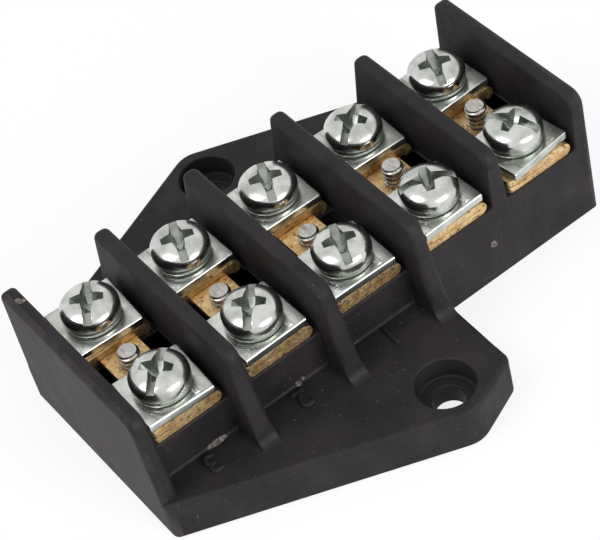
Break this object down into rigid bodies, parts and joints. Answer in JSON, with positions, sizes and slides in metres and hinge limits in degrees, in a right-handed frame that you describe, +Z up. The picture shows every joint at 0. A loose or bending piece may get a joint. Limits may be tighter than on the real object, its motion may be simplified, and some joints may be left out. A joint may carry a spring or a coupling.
{
  "type": "barrier terminal strip",
  "caption": "Moulded barrier terminal strip with folded brass plates, screw terminals with spring washers and clamp plates, and a fixing hole in each ear.",
  "frame": {"origin": "middle of the underside, half way between the two fixing holes", "axes": "+X along the strip from pole 1 to the last pole, +Y from the front terminals to the rear ones, +Z up"},
  "size_m": [0.0748, 0.065, 0.0216],
  "materials": {
    "moulding": "satin moulded thermoset",
    "brass": "satin rolled sheet",
    "steel": "satin plated",
    "zinc_plate": "bright zinc"
  },
  "bodies": {
    "strip": {"base": "moulding", "brass_plate_1": "brass", "brass_plate_2": "brass", "brass_plate_3": "brass", "brass_plate_4": "brass", "brass_plate_5": "brass", "fixing_screw_1": "steel", "fixing_screw_2": "steel", "fixing_screw_3": "steel", "fixing_screw_4": "steel", "fixing_screw_5": "steel"},
    "clamp_front_1": {"clamp_plate_front_1": "zinc_plate", "spring_washer_front_1": "zinc_plate"},
    "screw_front_1": {"terminal_screw_front_1": "zinc_plate"},
    "clamp_rear_1": {"clamp_plate_rear_1": "zinc_plate", "spring_washer_rear_1": "zinc_plate"},
    "screw_rear_1": {"terminal_screw_rear_1": "zinc_plate"},
    "clamp_front_2": {"clamp_plate_front_2": "zinc_plate", "spring_washer_front_2": "zinc_plate"},
    "screw_front_2": {"terminal_screw_front_2": "zinc_plate"},
    "clamp_rear_2": {"clamp_plate_rear_2": "zinc_plate", "spring_washer_rear_2": "zinc_plate"},
    "screw_rear_2": {"terminal_screw_rear_2": "zinc_plate"},
    "clamp_front_3": {"clamp_plate_front_3": "zinc_plate", "spring_washer_front_3": "zinc_plate"},
    "screw_front_3": {"terminal_screw_front_3": "zinc_plate"},
    "clamp_rear_3": {"clamp_plate_rear_3": "zinc_plate", "spring_washer_rear_3": "zinc_plate"},
    "screw_rear_3": {"terminal_screw_rear_3": "zinc_plate"},
    "clamp_front_4": {"clamp_plate_front_4": "zinc_plate", "spring_washer_front_4": "zinc_plate"},
    "screw_front_4": {"terminal_screw_front_4": "zinc_plate"},
    "clamp_rear_4": {"clamp_plate_rear_4": "zinc_plate", "spring_washer_rear_4": "zinc_plate"},
    "screw_rear_4": {"terminal_screw_rear_4": "zinc_plate"},
    "clamp_front_5": {"clamp_plate_front_5": "zinc_plate", "spring_washer_front_5": "zinc_plate"},
    "screw_front_5": {"terminal_screw_front_5": "zinc_plate"},
    "clamp_rear_5": {"clamp_plate_rear_5": "zinc_plate", "spring_washer_rear_5": "zinc_plate"},
    "screw_rear_5": {"terminal_screw_rear_5": "zinc_plate"}
  },
  "joints": [
    {"name": "lift_front_1", "type": "slide", "parent": "strip", "child": "clamp_front_1", "axis": [0, 0, 1], "range_m": [0, 0.0035]},
    {"name": "turn_front_1", "type": "hinge", "parent": "clamp_front_1", "child": "screw_front_1", "pos_m": [-0.029, -0.00805, 0.0198], "axis": [0, 0, 1], "range_deg": [0, 1800]},
    {"name": "lift_rear_1", "type": "slide", "parent": "strip", "child": "clamp_rear_1", "axis": [0, 0, 1], "range_m": [0, 0.0035]},
    {"name": "turn_rear_1", "type": "hinge", "parent": "clamp_rear_1", "child": "screw_rear_1", "pos_m": [-0.029, 0.00805, 0.0198], "axis": [0, 0, 1], "range_deg": [0, 1800]},
    {"name": "lift_front_2", "type": "slide", "parent": "strip", "child": "clamp_front_2", "axis": [0, 0, 1], "range_m": [0, 0.0035]},
    {"name": "turn_front_2", "type": "hinge", "parent": "clamp_front_2", "child": "screw_front_2", "pos_m": [-0.0145, -0.00805, 0.0198], "axis": [0, 0, 1], "range_deg": [0, 1800]},
    {"name": "lift_rear_2", "type": "slide", "parent": "strip", "child": "clamp_rear_2", "axis": [0, 0, 1], "range_m": [0, 0.0035]},
    {"name": "turn_rear_2", "type": "hinge", "parent": "clamp_rear_2", "child": "screw_rear_2", "pos_m": [-0.0145, 0.00805, 0.0198], "axis": [0, 0, 1], "range_deg": [0, 1800]},
    {"name": "lift_front_3", "type": "slide", "parent": "strip", "child": "clamp_front_3", "axis": [0, 0, 1], "range_m": [0, 0.0035]},
    {"name": "turn_front_3", "type": "hinge", "parent": "clamp_front_3", "child": "screw_front_3", "pos_m": [0, -0.00805, 0.0198], "axis": [0, 0, 1], "range_deg": [0, 1800]},
    {"name": "lift_rear_3", "type": "slide", "parent": "strip", "child": "clamp_rear_3", "axis": [0, 0, 1], "range_m": [0, 0.0035]},
    {"name": "turn_rear_3", "type": "hinge", "parent": "clamp_rear_3", "child": "screw_rear_3", "pos_m": [0, 0.00805, 0.0198], "axis": [0, 0, 1], "range_deg": [0, 1800]},
    {"name": "lift_front_4", "type": "slide", "parent": "strip", "child": "clamp_front_4", "axis": [0, 0, 1], "range_m": [0, 0.0035]},
    {"name": "turn_front_4", "type": "hinge", "parent": "clamp_front_4", "child": "screw_front_4", "pos_m": [0.0145, -0.00805, 0.0198], "axis": [0, 0, 1], "range_deg": [0, 1800]},
    {"name": "lift_rear_4", "type": "slide", "parent": "strip", "child": "clamp_rear_4", "axis": [0, 0, 1], "range_m": [0, 0.0035]},
    {"name": "turn_rear_4", "type": "hinge", "parent": "clamp_rear_4", "child": "screw_rear_4", "pos_m": [0.0145, 0.00805, 0.0198], "axis": [0, 0, 1], "range_deg": [0, 1800]},
    {"name": "lift_front_5", "type": "slide", "parent": "strip", "child": "clamp_front_5", "axis": [0, 0, 1], "range_m": [0, 0.0035]},
    {"name": "turn_front_5", "type": "hinge", "parent": "clamp_front_5", "child": "screw_front_5", "pos_m": [0.029, -0.00805, 0.0198], "axis": [0, 0, 1], "range_deg": [0, 1800]},
    {"name": "lift_rear_5", "type": "slide", "parent": "strip", "child": "clamp_rear_5", "axis": [0, 0, 1], "range_m": [0, 0.0035]},
    {"name": "turn_rear_5", "type": "hinge", "parent": "clamp_rear_5", "child": "screw_rear_5", "pos_m": [0.029, 0.00805, 0.0198], "axis": [0, 0, 1], "range_deg": [0, 1800]}
  ],
  "couplings": [
    {"joint": "turn_front_1", "follows": "lift_front_1", "rad_per_m": 8975.9},
    {"joint": "turn_rear_1", "follows": "lift_rear_1", "rad_per_m": 8975.9},
    {"joint": "turn_front_2", "follows": "lift_front_2", "rad_per_m": 8975.9},
    {"joint": "turn_rear_2", "follows": "lift_rear_2", "rad_per_m": 8975.9},
    {"joint": "turn_front_3", "follows": "lift_front_3", "rad_per_m": 8975.9},
    {"joint": "turn_rear_3", "follows": "lift_rear_3", "rad_per_m": 8975.9},
    {"joint": "turn_front_4", "follows": "lift_front_4", "rad_per_m": 8975.9},
    {"joint": "turn_rear_4", "follows": "lift_rear_4", "rad_per_m": 8975.9},
    {"joint": "turn_front_5", "follows": "lift_front_5", "rad_per_m": 8975.9},
    {"joint": "turn_rear_5", "follows": "lift_rear_5", "rad_per_m": 8975.9}
  ]
}
